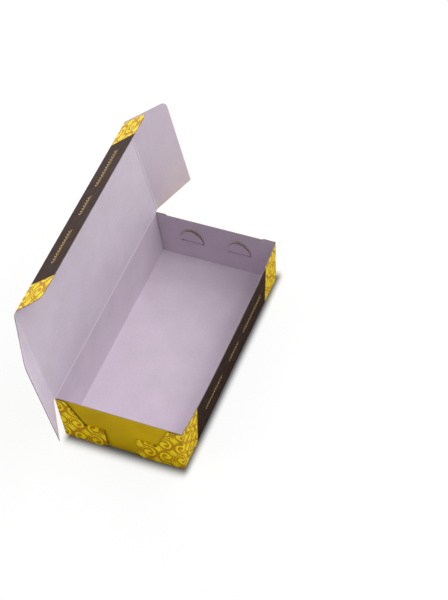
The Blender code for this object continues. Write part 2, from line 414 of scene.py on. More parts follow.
def rounded(corners):
    """A closed outline whose corners are (x, y, radius)."""
    points = []
    for index, (x, y, radius) in enumerate(corners):
        here = Vector((x, y))
        if not radius:
            points.append((x, y))
            continue
        before = (Vector(corners[index - 1][:2]) - here).normalized()
        after = (Vector(corners[(index + 1) % len(corners)][:2]) - here).normalized()
        half = before.angle(after) / 2
        centre = here + (before + after).normalized() * radius / sin(half)
        first = here + before * radius / tan(half) - centre
        sweep = first.angle_signed(here + after * radius / tan(half) - centre)
        for step in range(ARC_STEPS + 1):
            turn = Matrix.Rotation(-sweep * step / ARC_STEPS, 2)
            points.append(tuple(centre + turn @ first))
    return points


def mirrored(loops):
    """The loops and their mirror images on the other side of the axis."""
    return loops + [[(-x, y) for x, y in loop] for loop in loops]


def scroll_pair():
    """Two mirrored scrolls with spots and commas in them, and the leaves that fan out beside them."""
    ring = (RING_CENTRE, 0)
    left = [
        stroke(around(ring, [
            (168, 18.5, 0.3), (148, 15.6, 1.3), (120, 13.6, 1.6), (90, 13, 1.2), (60, 12.9, 1),
            (30, 12.9, 0.8), (0, 12.9, 0.9), (-30, 12.9, 0.9), (-60, 13, 1.1), (-90, 13.1, 1.4),
            (-120, 13.2, 1.1), (-150, 13.4, 0.8), (-180, 13.5, 0.8), (-205, 12.8, 0.7),
            (-225, 11.6, 0.2)])),
        disc(-14.8, 6.3, 3.9),
        stroke([(-13, 8.2, 2), (-9.5, 10, 1.5), (-5.6, 9.2, 0.6)]),
        disc(-22.5, 5.2, 1.9, 12),
        stroke([(-22.6, 5.6, 1.5), (-22, 8.4, 1), (-19.4, 11.6, 0.9)]),
        disc(-23.4, -4.2, 3.8),
        stroke([(-25.2, -2.6, 2), (-27, 1.6, 1.1), (-26.4, 6.5, 0.3)]),
        disc(-13.6, -6.8, 3.8),
        stroke([(-11.6, -8, 2), (-10.6, -10.8, 1.3), (-13.2, -12.9, 0.8)]),
        stroke([(-10.4, -0.4, 0.9), (-7.6, 0.2, 2.4), (-5.4, -2.4, 2.6), (-5.4, -6.4, 1.6),
                (-8.2, -10.6, 0.4)]),
        disc(-6.2, 14, 2.1, 14),
        stroke([(-5.6, 14, 1.4), (-3.2, 12.6, 0.9), (-3, 9.6, 0.3)]),
        stroke([(-24.5, 11.2, 0.6), (-28.6, 12.4, 1), (-30.4, 15.6, 1.5)]),
        disc(-30.2, 16.6, 2.6, 14),
        stroke([(-26.8, 10.3, 0.9), (-32, 10.6, 0.8), (-35.6, 12.8, 1.3)]),
        disc(-36.2, 13.4, 2.1, 14),
        stroke([(-29, 8.8, 0.7), (-36, 8.3, 0.8), (-41, 9.2, 1.1)]),
        disc(-42, 10, 1.7, 12),
        stroke([(-25.8, 9.4, 0.9), (-33, 6.8, 1.3), (-41, 6.6, 1.4), (-48, 9.2, 0.2)]),
        stroke([(-27.5, 7.6, 0.8), (-33, 3.8, 1.3), (-38, 2.8, 1.1), (-43, 3.6, 0.2)]),
        stroke([(-28.2, 5.4, 0.6), (-30.8, 1.2, 1.3), (-33.4, -0.2, 1.5), (-36.4, -0.6, 0.2)])]
    middle = [
        stroke([(0, 13.4, 0.2), (0, 11.4, 1.6), (0, 8.6, 0.1)]),
        stroke([(0, -10.2, 0.1), (0, -12.6, 1.3), (0, -14, 1.9)])]
    return mirrored(left) + middle


def running_scroll():
    """A spiral with a comma in its eye, half of an S with its neighbour, and the leaves beside it."""
    return [
        stroke([
            (10.5, 0, 1.1), (9.4, -4.6, 1.35), (4.8, -8, 1.6), (-1.6, -7.8, 1.5),
            (-6.4, -4.2, 1.35), (-7.2, 1.4, 1.25), (-4.2, 5.8, 1.15), (1, 6.4, 1.15),
            (4.8, 3.2, 1.1), (4.4, -1.4, 1.1), (1.4, -3.6, 1), (-1.6, -3, 0.8)]),
        disc(-1.6, -1.2, 2.4, 14),
        stroke([(-7.6, 7.6, 0.2), (-4, 8.7, 0.7), (0.6, 8.7, 0.8), (5.2, 7, 0.6), (8, 3, 0.3)]),
        stroke([(-8.6, 6, 0.2), (-9.5, 2, 0.8), (-9.4, -2.4, 0.9), (-7.6, -6.6, 0.2)]),
        stroke([(10.9, -6.9, 0.2), (13.2, -4.6, 0.8), (13.9, -1.4, 0.2)]),
        stroke([(6.2, -3.2, 0.2), (7.3, -0.2, 0.8), (6.9, 2.8, 0.2)])]


def laurel_pair(half_leaf, size=1.0):
    """A length of a laurel sprig: the stem with a leaf on each side."""
    stem = stroke([(-1.9, 0, 0.22), (0, 0, 0.26), (1.9, 0, 0.22)], 2)
    leaf = stroke([(-1.3, 0.1, 0.12), (-0.5, 1.7, half_leaf), (1.3, 3.5, 0.08)], 4)
    sprig = [stem, leaf, [(x, -y) for x, y in leaf]]
    return [[(x * size, y * size) for x, y in loop] for loop in sprig]


def medallion_leaf():
    """A leaf with a spot on each side, for the ring of the medallion."""
    leaf = stroke([(0, 4.2, 0.1), (0, 1.2, 1.5), (0, -1.4, 1.2), (0, -4.0, 0.1)])
    return [leaf, *mirrored([disc(-3.0, 0.4, 0.75, 10), lozenge(-4.7, -0.2, 0.35, 1.6)])]


def pastry(chance, x, y):
    """A diamond-cut pastry seen from above and in front, with layers in its sides and nuts on top."""
    wide, deep, tall, layer = 12.0, 7.2, 8.4, 0.55
    sides, layers = [], []
    for hand in (-1, 1):
        def side(low, high, outer=x + hand * wide):
            return [(outer, y - low), (x, y - deep - low), (x, y - deep - high), (outer, y - high)]
        sides.append(side(0, tall))
        layers += [side(tall * share, tall * share + layer) for share in PASTRY_LAYERS]
    crumbs = []
    for _ in range(CRUMBS):
        across, along = chance.uniform(-3.6, 3.6), chance.uniform(-2.1, 2.1)
        crumbs.append(disc(x + across, y + along, chance.uniform(0.45, 0.95), 6))
    top = lozenge(x, y, wide, deep)
    return [
        ("syrup", sides[:1]), ("filling", sides[1:]), ("crust", layers), ("crust", [top]),
        ("nut", crumbs)]


# What repeats


def new_object(name, data):
    """An object in the scene."""
    made = bpy.data.objects.new(name, data)
    bpy.context.scene.collection.objects.link(made)
    return made


def flat_mesh(name, loops, material):
    """A mesh with one flat face for each loop."""
    mesh = bpy.data.meshes.new(name)
    points = [(x, y, 0) for loop in loops for x, y in loop]
    faces, start = [], 0
    for loop in loops:
        faces.append(list(range(start, start + len(loop))))
        start += len(loop)
    mesh.from_pydata(points, [], faces)
    mesh.materials.append(material)
    return mesh


def new_tree(name, **sizes):
    """A Geometry Nodes tree that repeats a motif, and the outputs of its named inputs."""
    tree = bpy.data.node_groups.new(name, "GeometryNodeTree")
    for label, kind in {"Motif": "Object", "Ink": "Material", **sizes}.items():
        tree.interface.new_socket(label, in_out="INPUT", socket_type="NodeSocket" + kind)
    tree.interface.new_socket("Geometry", in_out="OUTPUT", socket_type="NodeSocketGeometry")
    return tree, add(tree, "NodeGroupInput").outputs


def finish_tree(tree, points, turn, given):
    """Put the motif on the points, turned about Z, as real faces in its ink."""
    motif = add(tree, "GeometryNodeObjectInfo", {"Object": given["Motif"]})
    angle = add(tree, "ShaderNodeCombineXYZ", {"Z": turn})
    placed = add(tree, "GeometryNodeInstanceOnPoints", {
        "Points": points, "Instance": motif.outputs["Geometry"],
        "Rotation": angle.outputs["Vector"]})
    real = add(tree, "GeometryNodeRealizeInstances", {"Geometry": placed.outputs["Instances"]})
    inked = add(tree, "GeometryNodeSetMaterial", {
        "Geometry": real.outputs["Geometry"], "Material": given["Ink"]})
    add(tree, "NodeGroupOutput", {"Geometry": inked.outputs["Geometry"]})


def repeat_over_sheet():
    """A motif on a grid with a pitch across and along, every second one turned by an angle."""
    tree, given = new_tree("repeat_over_sheet", Across="Float", Along="Float", Columns="Int",
                           Rows="Int", Turn="Float")
    grid = add(tree, "GeometryNodeMeshGrid")
    for axis, count, pitch in (("X", "Columns", "Across"), ("Y", "Rows", "Along")):
        gaps = calculate("SUBTRACT", given[count], 1)
        length = calculate("MULTIPLY", gaps, given[pitch])
        feed(grid, {"Size " + axis: length, "Vertices " + axis: given[count]})
    index = add(tree, "GeometryNodeInputIndex").outputs["Index"]
    column = calculate("FLOOR", calculate("DIVIDE", index, given["Rows"]))
    row = calculate("MODULO", index, given["Rows"])
    odd = calculate("MODULO", calculate("ADD", column, row), 2)
    turn = calculate("MULTIPLY", odd, given["Turn"])
    finish_tree(tree, grid.outputs["Mesh"], turn, given)
    return tree


def repeat_round_ring():
    """A motif round a circle, each one turned to face the centre."""
    tree, given = new_tree("repeat_round_ring", Radius="Float", Count="Int")
    circle = add(tree, "GeometryNodeMeshCircle", {
        "Radius": given["Radius"], "Vertices": given["Count"]})
    index = add(tree, "GeometryNodeInputIndex").outputs["Index"]
    share = calculate("DIVIDE", index, given["Count"])
    turn = calculate("SUBTRACT", calculate("MULTIPLY", share, tau), pi / 2)
    finish_tree(tree, circle.outputs["Mesh"], turn, given)
    return tree


def repeated(tree, loops, material, **sizes):
    """The loops that a tree makes of a motif, baked to flat faces and read back as outlines."""
    motif = new_object("motif", flat_mesh("motif", loops, material))
    host = new_object("repeat", bpy.data.meshes.new("repeat"))
    modifier = host.modifiers.new("repeat", "NODES")
    modifier.node_group = tree
    values = {"Motif": motif, "Ink": material, **sizes}
    for socket in tree.interface.items_tree:
        if socket.in_out == "INPUT":
            modifier[socket.identifier] = values[socket.name]
    bpy.context.view_layer.update()
    graph = bpy.context.evaluated_depsgraph_get()
    made = bpy.data.meshes.new_from_object(host.evaluated_get(graph))
    spots = [
        [(made.vertices[i].co.x, made.vertices[i].co.y) for i in face.vertices]
        for face in made.polygons]
    for thing in (host, motif):
        bpy.data.objects.remove(thing, do_unlink=True)
    bpy.data.meshes.remove(made)
    return spots


def moved(loops, across, along, turn=0.0):
    """Loops turned and shifted on the blank."""
    c, s = cos(turn), sin(turn)
    return [[(x * c - y * s + across, x * s + y * c + along) for x, y in loop] for loop in loops]


# A cut and printed piece of board


def covered(places, loop):
    """Which of the places lie inside a loop, overlaps of the loop with itself included."""
    ring = np.array(loop)
    inside = np.zeros(len(places), bool)
    near = np.all((places >= ring.min(0)) & (places <= ring.max(0)), axis=1)
    x, y = places[near].T[:, :, None]
    (x0, y0), (x1, y1) = ring.T, np.roll(ring, -1, axis=0).T
    turn = (x1 - x0) * (y - y0) - (x - x0) * (y1 - y0)
    upward = (y0 <= y) & (y1 > y) & (turn > 0)
    downward = (y0 > y) & (y1 <= y) & (turn < 0)
    inside[near] = upward.sum(1) != downward.sum(1)
    return inside


def divided(outline, holes, shapes, cuts):
    """Divide a flat outline along its print. Gives points, and triangles with the ink on top."""
    points, edges, faces = [], [], []
    loops = [outline, *holes, *(loop for _, loop in shapes)]
    for loop in loops:
        start = len(points)
        points.extend(Vector(p) for p in loop)
        edges.extend((i, i + 1) for i in range(start, len(points) - 1))
        edges.append((len(points) - 1, start))
    for first, last in cuts:
        edges.append((len(points), len(points) + 1))
        points.extend((Vector(first), Vector(last)))
    found = delaunay_2d_cdt(points, edges, faces, 0, WELD, False)
    points, corners = found[0], np.array(found[2])
    places = np.array(points)[corners].mean(1)
    keep = covered(places, outline)
    for hole in holes:
        keep &= ~covered(places, hole)
    corners, places = corners[keep], places[keep]
    top = np.full(len(places), -1)
    for index, (_, loop) in enumerate(shapes):
        top[covered(places, loop)] = index
    names = [shapes[i][0] if i >= 0 else None for i in top]
    return points, list(zip(corners.tolist(), names))


def board(name, outline, place, art, shapes=(), base="yellow", holes=(), cuts=(),
          edge="cut_edge", crease=None, smooth=False):
    """A closed piece of board. place(point, side) folds it: side 1 is printed, side 0 is plain."""
    points, triangles = divided(outline, holes, shapes, cuts)
    names = sorted({n or base for _, n in triangles})
    order = [*names, "inner_board", edge]
    shape = bmesh.new()
    crease_layer = shape.verts.layers.float.new("crease")
    used = sorted({i for corners, _ in triangles for i in corners})
    skins = [
        {i: shape.verts.new(Vector(place(points[i], side)) * MM) for i in used}
        for side in (1, 0)]
    rims = {}
    for corners, found in triangles:
        printed_face = shape.faces.new([skins[0][i] for i in corners])
        printed_face.material_index = order.index(found or base)
        back_face = shape.faces.new([skins[1][i] for i in corners][::-1])
        back_face.material_index = len(names)
        for a, b in zip(corners, corners[1:] + corners[:1]):
            key = (min(a, b), max(a, b))
            rims[key] = None if key in rims else (a, b)
    for a, b in filter(None, rims.values()):
        wall = shape.faces.new((skins[0][b], skins[0][a], skins[1][a], skins[1][b]))
        wall.material_index = len(names) + 1
    bmesh.ops.recalc_face_normals(shape, faces=shape.faces)
    mesh = bpy.data.meshes.new(name)
    # crease attribute: ink cracks and painted highlight inside where positive, painted shade inside
    # where negative
    if crease:
        for skin in skins:
            for i, corner in skin.items():
                corner[crease_layer] = crease(points[i])
    shape.to_mesh(mesh)
    shape.free()
    for key in order:
        mesh.materials.append(art.inks[key])
    if smooth:
        mesh.shade_smooth()
        mesh.set_sharp_from_angle(angle=SHARP)
    return new_object(name, mesh)


def flat(matrix):
    """Place function for a flat panel whose printed face is at +Z of a matrix."""
    def place(point, side):
        return matrix @ Vector((point[0], point[1], HALF if side else -HALF))
    return place


def grid_cuts(low, high, across=(), along=()):
    """Straight cuts over a panel, at the given places, so that it can bend."""
    lines = [((x, low[1] - SPARE), (x, high[1] + SPARE)) for x in across]
    return lines + [((low[0] - SPARE, y), (high[0] + SPARE, y)) for y in along]


def spaced(first, last, count):
    """Evenly spaced numbers."""
    return [first + (last - first) * i / count for i in range(count + 1)]


def fold_nearness(distance):
    """How strongly a place is marked at a distance from a fold: 1 at the fold, 0 beyond the width of
    the marks.
    """
    return min(max(1 - distance / FOLD_MARK_WIDTH, 0), 1)


def fold_cracks_and_highlight(point):
    """How strongly a moving fold is marked across: ink cracks on the print, a painted highlight
    inside.
    """
    return sin(pi * min(max(point[0], 0), 1)) ** 2


def bend_angle(distance):
    """How far round a square fold a place on it is."""
    return pi / 2 * min(max((distance - BEND_START) / (BEND_OUTER - BEND_START), 0), 1)


def lean(side):
    """How far the long wall on a side leans out at its rim."""
    return FRONT_LEAN if side > 0 else BACK_LEAN


def wall_out(side, y, z):
    """Where the outer face of a long wall stands at a height."""
    out = TRAY_WIDTH / 2 + lean(side) * z / TRAY_HEIGHT
    if side > 0:
        along = min(abs(2 * y / TRAY_LENGTH), 1)
        out += FRONT_BOW * z / TRAY_HEIGHT * (1 - along ** BOW_POWER)
    return out


def long_wall_place(side):
    """Place function for a long wall, drawn as (height, along), with its fold from the floor."""
    def place(point, face):
        z, y = point
        if z < BEND_OUTER:
            turn = bend_angle(z)
            reach = wall_out(side, y, BEND_OUTER) - FOOT_X - (0 if face else BOARD)
            radius = BEND_OUTER if face else BEND_INNER
            return (side * (FOOT_X + reach * sin(turn)), y, BEND_OUTER - radius * cos(turn))
        out = wall_out(side, y, z)
        if not face:
            slope_z = (wall_out(side, y, z + 1) - wall_out(side, y, z - 1)) / 2
            slope_y = (wall_out(side, y + 1, z) - wall_out(side, y - 1, z)) / 2
            inward = Vector((1, -slope_y, -slope_z)).normalized() * BOARD
            return (side * (out - inward.x), y - inward.y, z - inward.z)
        return (side * out, y, z)
    return place


def end_wall_place(end):
    """Place function for an end wall, drawn as (across, height), with its fold from the floor."""
    def place(point, face):
        x, z = point
        if z < BEND_OUTER:
            turn = bend_angle(z)
            radius = BEND_OUTER if face else BEND_INNER
            return (x, end * (FOOT_Y + radius * sin(turn)), BEND_OUTER - radius * cos(turn))
        return (x, end * (END_WALL_Y + (HALF if face else -HALF)), z)
    return place


def corner_flap_place(side, end):
    """Place function for a corner flap, drawn as (from the corner, height), with its fold."""
    def place(point, face):
        a, z = point
        from_fold = a + lean(side) * z / TRAY_HEIGHT
        if from_fold < BEND_OUTER:
            turn = bend_angle(from_fold)
            radius = BEND_OUTER if face else BEND_INNER
            x = wall_out(side, WALL_END, z) - BEND_OUTER + radius * cos(turn)
            y = WALL_END + radius * sin(turn)
        else:
            x = TRAY_WIDTH / 2 - a * cos(FLAP_SPRING)
            y = TRAY_LENGTH / 2 - HALF + (HALF if face else -HALF) + a * sin(FLAP_SPRING)
        return (side * x, end * y, z)
    return place


def tongue_place(side, end):
    """Place function for a lock tongue and the neck that folds over the tab's top edge."""
    stand_off = TONGUE_PLACE * sin(FLAP_SPRING)
    inner_centre = TONGUE_Y + HALF + FIT
    outer_centre = WALL_END + stand_off
    neck = outer_centre - inner_centre
    low, high = NECK_Z - HALF, NECK_Z + HALF

    def place(point, face):
        x, h = point
        upright = h > 0 or abs(x) > (NECK_WIDTH + NECK_NOTCH) / 2
        if upright or h > -1:
            turn = TONGUE_LEAN if upright else TONGUE_LEAN + (pi / 2 - TONGUE_LEAN) * -h
            radius = FIT if face else BEND_OUTER
            y = inner_centre - radius * cos(turn)
            z = high + FIT - radius * sin(turn)
            if upright:
                y -= h * sin(TONGUE_LEAN)
                z += h * cos(TONGUE_LEAN)
        elif h > -2:
            y = inner_centre + neck * (-h - 1)
            z = high if face else low
        else:
            turn = pi / 2 * min(-h - 2, 1)
            radius = BEND_OUTER if face else FIT
            y = outer_centre + radius * sin(turn)
            z = TAB_HEIGHT + radius * cos(turn)
        return (side * TONGUE_X + x, end * y, z)
    return place


class Fold:
    """A moving fold: the strip of board from one panel's frame to the next."""

    def __init__(self, first, second, before=CREASE, after=CREASE):
        self.first, self.second = first, second
        self.start = first @ Vector((-before, 0, 0))
        self.end = second @ Vector((after, 0, 0))
        line = (first.translation + second.translation) / 2
        self.middle = line if after else (self.start + self.end) / 2

    def place(self, point, face):
        """Where a place on the strip, drawn as (share of the way, along), comes to lie."""
        t, y = point
        spot = self.start * (1 - t) ** 2 + self.middle * 2 * t * (1 - t) + self.end * t * t
        first, second = self.first.to_3x3().col, self.second.to_3x3().col
        out = (first[2] * (1 - t) + second[2] * t).normalized()
        bead = FOLD_BEAD * sin(pi * t) ** 2
        shift = HALF - bead * INNER_BEAD if face else -HALF - bead
        return spot + first[1] * y + out * shift

    def strip(self, name, low, high, lengths, shapes, art):
        """The strip between two places along the fold."""
        cuts = grid_cuts((0, low), (1, high), spaced(0, 1, FOLD_STEPS)[1:-1],
                         spaced(low, high, lengths)[1:-1])
        return board(name, box_loop((0, low), (1, high)), self.place, art, shapes,
                     cuts=cuts, crease=fold_cracks_and_highlight, smooth=True)


# Printing


def meets(loop, box):
    """Whether a loop reaches into a box, given by any two opposite corners."""
    return all(
        min(span) < max(edges) and max(span) > min(edges)
        for span, edges in zip(zip(*loop), zip(*box)))


def drawn(ink_name, loops, to_panel):
    """Loops on the blank as shapes on a panel."""
    return [(ink_name, [to_panel(p) for p in loop]) for loop in loops]


class Print:
    """The artwork of the whole blank, and the part of it that falls on a panel."""

    def __init__(self, inks):
        self.inks = inks
        self.over_sheet = repeat_over_sheet()
        self.lid_scrolls = self.over_ends(scroll_pair(), PAIR_PITCH, ROW_PITCH, PAIR_GRID)
        self.scrolls = self.over_ends(running_scroll(), RUN_ACROSS, RUN_ALONG, RUN_GRID)
        self.laurels = {
            pairs: self.sprig(laurel_pair(LAUREL_LEAF), "gold", LAUREL_PITCH, pairs)
            for _, pairs in LAURELS}
        motif = laurel_pair(BRANCH_LEAF, BRANCH_SIZE)
        branch = self.sprig(motif, "brown", LAUREL_PITCH * BRANCH_SIZE, BRANCH_PAIRS)
        self.branches = mirrored(moved(branch, BRANCH_SHIFT, 0)) + [disc(0, 0, BRANCH_SPOT, 14)]
        self.leaves = repeated(repeat_round_ring(), medallion_leaf(), inks["white"],
                               Radius=LEAF_RING, Count=LEAF_COUNT)
        chance = random.Random(CRUMB_SEED)
        self.pastries = [pastry(chance, x, y) for x, y in PASTRY_PLACES]

    def over_ends(self, motif, across, along, grid):
        """An ochre motif over the near end of the blank, and mirrored over the far end."""
        columns, rows = grid
        field = repeated(self.over_sheet, motif, self.inks["ochre"], Across=across, Along=along,
                         Columns=columns, Rows=rows, Turn=pi)
        near = moved(field, PAIR_PLACE - PAIR_PITCH * 1.5, -ROW_PLACE - ROW_PITCH)
        return near + [[(x, -y) for x, y in loop] for loop in near]

    def sprig(self, motif, ink_name, pitch, pairs):
        """A straight laurel sprig, its middle at the origin."""
        return repeated(self.over_sheet, motif, self.inks[ink_name], Across=pitch, Along=1.0,
                        Columns=pairs, Rows=1, Turn=0.0)

    def scroll_shapes(self, to_panel, *boxes, on_lid=False):
        """Ochre scrolls that reach into boxes of the blank, as shapes on a panel."""
        loops = self.lid_scrolls if on_lid else self.scrolls
        found = [loop for loop in loops if any(meets(loop, box) for box in boxes)]
        return drawn("ochre", found, to_panel)

    def medallion(self, across):
        """The round picture on the lid, from its outer ring to the pastries."""
        layers = [
            ("medallion", [disc(0, 0, MEDALLION, RING_STEPS)]),
            ("white", [disc(0, 0, MEDALLION_LINE, RING_STEPS)]),
            ("medallion", [disc(0, 0, MEDALLION_LINE - LINE_WIDTH, RING_STEPS)]),
            ("white", self.leaves),
            ("white", [disc(0, 0, MEDALLION_WINDOW, WINDOW_STEPS)])]
        for layered in self.pastries:
            layers += layered
        return [(name, loop) for name, loops in layers for loop in moved(loops, across, 0)]


def banded(art, first, second, length, to_panel, laurels_at=None, on_lid=False):
    """Shapes on a panel between two blank positions: yellow bands with scrolls, brown between."""
    low, high = sorted((first, second))
    inner = LID_END - BAND
    shapes = art.scroll_shapes(to_panel, ((low, -length), (high, -inner)),
                               ((low, inner), (high, length)), on_lid=on_lid)
    field = box_loop((low - BROWN_OVERLAP, -inner), (high + BROWN_OVERLAP, inner))
    shapes += drawn("brown", [field], to_panel)
    if laurels_at is not None:
        for along, pairs in LAURELS:
            sprig = moved(art.laurels[pairs], laurels_at, along, pi / 2)
            shapes += drawn("gold", sprig, to_panel)
    return shapes


# Pieces of the carton


def stands_for(piece, body, node):
    """Put a printed piece in the place of a CAD panel."""
    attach(piece, body)
    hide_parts(node)


def on_blank(side, height):
    """How far across the blank a height on a long wall lies."""
    return height - HINGE_Z if side < 0 else -(HINGE_Z + TRAY_WIDTH + height)


def wall_height(side, across):
    """How high on a long wall a place across the blank lies."""
    return across + HINGE_Z if side < 0 else -(across + HINGE_Z + TRAY_WIDTH)


def build_tray(art):
    """Floor, walls, corner flaps and lock tongues."""
    turned_over = Matrix.Translation((0, 0, HALF)) @ Matrix.Rotation(pi, 4, "X")
    outline = box_loop((-FOOT_X, -FOOT_Y), (FOOT_X, FOOT_Y))
    floor = board("floor_board", outline, flat(turned_over), art, base="brown")
    stands_for(floor, "tray", "floor_panel")
    for side, side_name in SIDES:
        build_long_wall(side, side_name, art)
    for end, end_name in ENDS:
        build_end_wall(end, end_name, art)
        for side, side_name in SIDES:
            corner = f"{end_name}_{side_name}"
            build_corner_flap(corner, side, end, art)
            build_tongue(corner, side, end, art)


def build_long_wall(side, side_name, art):
    """A long wall with its fold from the floor, marked at the hinge with ink cracks and a painted
    highlight inside, or bulging at the front.
    """
    def to_wall(p):
        return (wall_height(side, p[0]), p[1])

    # ink cracks, and a painted highlight inside, along the hinge
    def hinge_cracks_and_highlight(point):
        return fold_nearness(TRAY_HEIGHT - point[0])

    heights = spaced(BEND_START, BEND_OUTER, BEND_STEPS)[1:]
    places, wear_and_painted_light, laurels_at = [], None, None
    if side < 0:
        heights.append(TRAY_HEIGHT - FOLD_MARK_WIDTH)
        wear_and_painted_light = hinge_cracks_and_highlight
    else:
        heights += spaced(*WALL_HEIGHTS)
        places = spaced(-WALL_END, WALL_END, WALL_LENGTHS)[1:-1]
        laurels_at = on_blank(side, TRAY_HEIGHT / 2)
    shapes = banded(art, on_blank(side, BEND_START), on_blank(side, TRAY_HEIGHT),
                    WALL_END + SPARE, to_wall, laurels_at)
    foot, rim = (BEND_START, -WALL_END), (TRAY_HEIGHT, WALL_END)
    wall = board(side_name + "_wall_board", box_loop(foot, rim), long_wall_place(side), art,
                 shapes, cuts=grid_cuts(foot, rim, heights, places), crease=wear_and_painted_light, smooth=True)
    stands_for(wall, "tray", side_name + "_wall")


def build_end_wall(end, end_name, art):
    """An end wall with its fold from the floor and a slit for each tongue."""
    trimmed = FOOT_X - CORNER_GAP
    outline = [
        (-FOOT_X, BEND_START), (FOOT_X, BEND_START), (FOOT_X, BEND_OUTER),
        (trimmed, BEND_OUTER + 1), (trimmed + FRONT_LEAN, TRAY_HEIGHT),
        (-trimmed - BACK_LEAN, TRAY_HEIGHT), (-trimmed, BEND_OUTER + 1), (-FOOT_X, BEND_OUTER)]
    half_slit = NECK_WIDTH / 2 + SLIT_PLAY
    low, high = NECK_Z - HALF - FIT, NECK_Z + HALF + SLIT_PLAY
    slits = [
        box_loop((x - half_slit, low), (x + half_slit, high))
        for x in (TONGUE_X, -TONGUE_X)]
    bends = spaced(BEND_START, BEND_OUTER, BEND_STEPS)[1:]
    wall = board(end_name + "_end_wall_board", outline, end_wall_place(end), art,
                 base="olive", holes=slits, smooth=True,
                 cuts=grid_cuts((-FOOT_X, 0), (FOOT_X, 0), along=bends))
    stands_for(wall, "tray", end_name + "_end_wall")


def build_corner_flap(corner, side, end, art):
    """The end of a long wall, folded round outside the end wall."""
    slope = lean(side) / TRAY_HEIGHT
    outline = rounded([
        (BEND_START, 0, 0),
        (FLAP_REACH - TAB_CHAMFER, 0, 0),
        (FLAP_REACH, TAB_CHAMFER, 0),
        (FLAP_REACH, TAB_HEIGHT, TAB_RADIUS),
        (FLAP_SLOPE_END, TAB_HEIGHT, TAB_RADIUS),
        (FLAP_TOP_RUN, TRAY_HEIGHT, TAB_RADIUS),
        (BEND_START - lean(side), TRAY_HEIGHT, 0)])

    def to_flap(p):
        height = wall_height(side, p[0])
        return (abs(p[1]) - WALL_END - slope * height, height)

    shapes = art.scroll_shapes(to_flap, (
        (on_blank(side, 0), end * (WALL_END - SPARE)),
        (on_blank(side, TRAY_HEIGHT), end * (WALL_END + FLAP_REACH + 3 * SPARE))))
    top = TRAY_HEIGHT + SPARE
    cuts = [
        ((place, -SPARE), (place - slope * top, top))
        for place in spaced(BEND_START, BEND_OUTER, BEND_STEPS)[1:]]
    # its cut edge is darkened with a painted shadow of the gap under the flap
    flap = board(corner + "_corner_flap_board", outline, corner_flap_place(side, end), art,
                 shapes, cuts=cuts, edge="painted_gap_shadow_edge", smooth=True)
    stands_for(flap, "tray", corner + "_corner_flap")


def build_tongue(corner, side, end, art):
    """A bow-ended tongue with its neck, which is drawn below it in stages one unit high."""
    shoulder = -BOARD - FIT
    half_neck = NECK_WIDTH / 2
    notch = half_neck + NECK_NOTCH
    bow = []
    for step in range(BOW_STEPS + 1):
        turn = pi * step / BOW_STEPS
        bow.append((TONGUE_WIDTH / 2 * cos(turn), shoulder + TONGUE_HEIGHT * sin(turn)))
    outline = [
        *bow, (-notch, shoulder), (-notch, 0), (-half_neck, 0), (-half_neck, -NECK_STAGES),
        (half_neck, -NECK_STAGES), (half_neck, 0), (notch, 0), (notch, shoulder)]
    bends = [-step / NECK_STEPS for step in range(NECK_STAGES * NECK_STEPS + 1)]
    cuts = [((-half_neck, h), (half_neck, h)) for h in bends]
    cuts += [((-TONGUE_WIDTH, h), (TONGUE_WIDTH, h)) for h in (NECK_SHADE, 2 * NECK_SHADE)]

    def to_neck(p):
        from_corner = abs(p[1]) - WALL_END - lean(side) * TAB_HEIGHT / TRAY_HEIGHT
        climb = (wall_height(side, p[0]) - TAB_HEIGHT) / (pi / 2 * BEND_OUTER)
        return (side * (TONGUE_PLACE - from_corner), climb - NECK_STAGES)

    # painted shade over the tongue's foot and neck, on its inner face
    def painted_foot_shade(point):
        return -min(max(2 - point[1] / NECK_SHADE, 0), 1)

    shapes = art.scroll_shapes(to_neck, (
        (on_blank(side, TAB_HEIGHT), end * WALL_END),
        (on_blank(side, TAB_HEIGHT + 4 * SPARE), end * (WALL_END + FLAP_REACH))))
    # its cut edge is tinted by the ink and darkened with a painted shadow of the gap behind it
    tongue = board(corner + "_tongue_board", outline, tongue_place(side, end), art,
                   shapes, cuts=cuts, crease=painted_foot_shade, edge="ink_and_painted_shadow_edge", smooth=True)
    stands_for(tongue, "tray", corner + "_lock_tongue")


def lid_fold(name, fold, half_length, at, width, art):
    """The strip over a fold along the lid, which lies at a place on the blank."""
    def to_strip(p):
        return ((p[0] - at) / width, p[1])

    shapes = banded(art, at, at + width, LID_END, to_strip, on_lid=True)
    return fold.strip(name, -half_length, half_length, FOLD_LENGTHS, shapes, art)


def build_lid(art):
    """Lid, its three flaps and the folds between them."""
    hinge = Matrix.Translation((HINGE_X, 0, HINGE_Z))
    wall_top = hinge @ Matrix.Rotation(-pi / 2, 4, "Y")
    lid = hinge @ Matrix.Rotation(-LID_OPEN, 4, "Y")
    front_line = lid @ Matrix.Translation((LID_WIDTH, 0, 0))
    front = front_line @ Matrix.Rotation(FRONT_FLAP_FOLD, 4, "Y")
    root = END_WALL_Y - HALF - FRONT_FLAP_PLAY

    build_lid_panel(lid, art)
    build_front_flap(front, root, art)

    gap = FIT + HALF
    fold = Fold(wall_top, lid, gap, 0)
    strip = lid_fold("hinge_fold", fold, WALL_END, -gap, gap, art)
    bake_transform(strip)

    fold = Fold(front_line, front)
    strip = lid_fold("front_fold", fold, root, LID_WIDTH - CREASE, 2 * CREASE, art)
    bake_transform(strip)

    for end, end_name in ENDS:
        build_end_flap(end, end_name, lid, art)


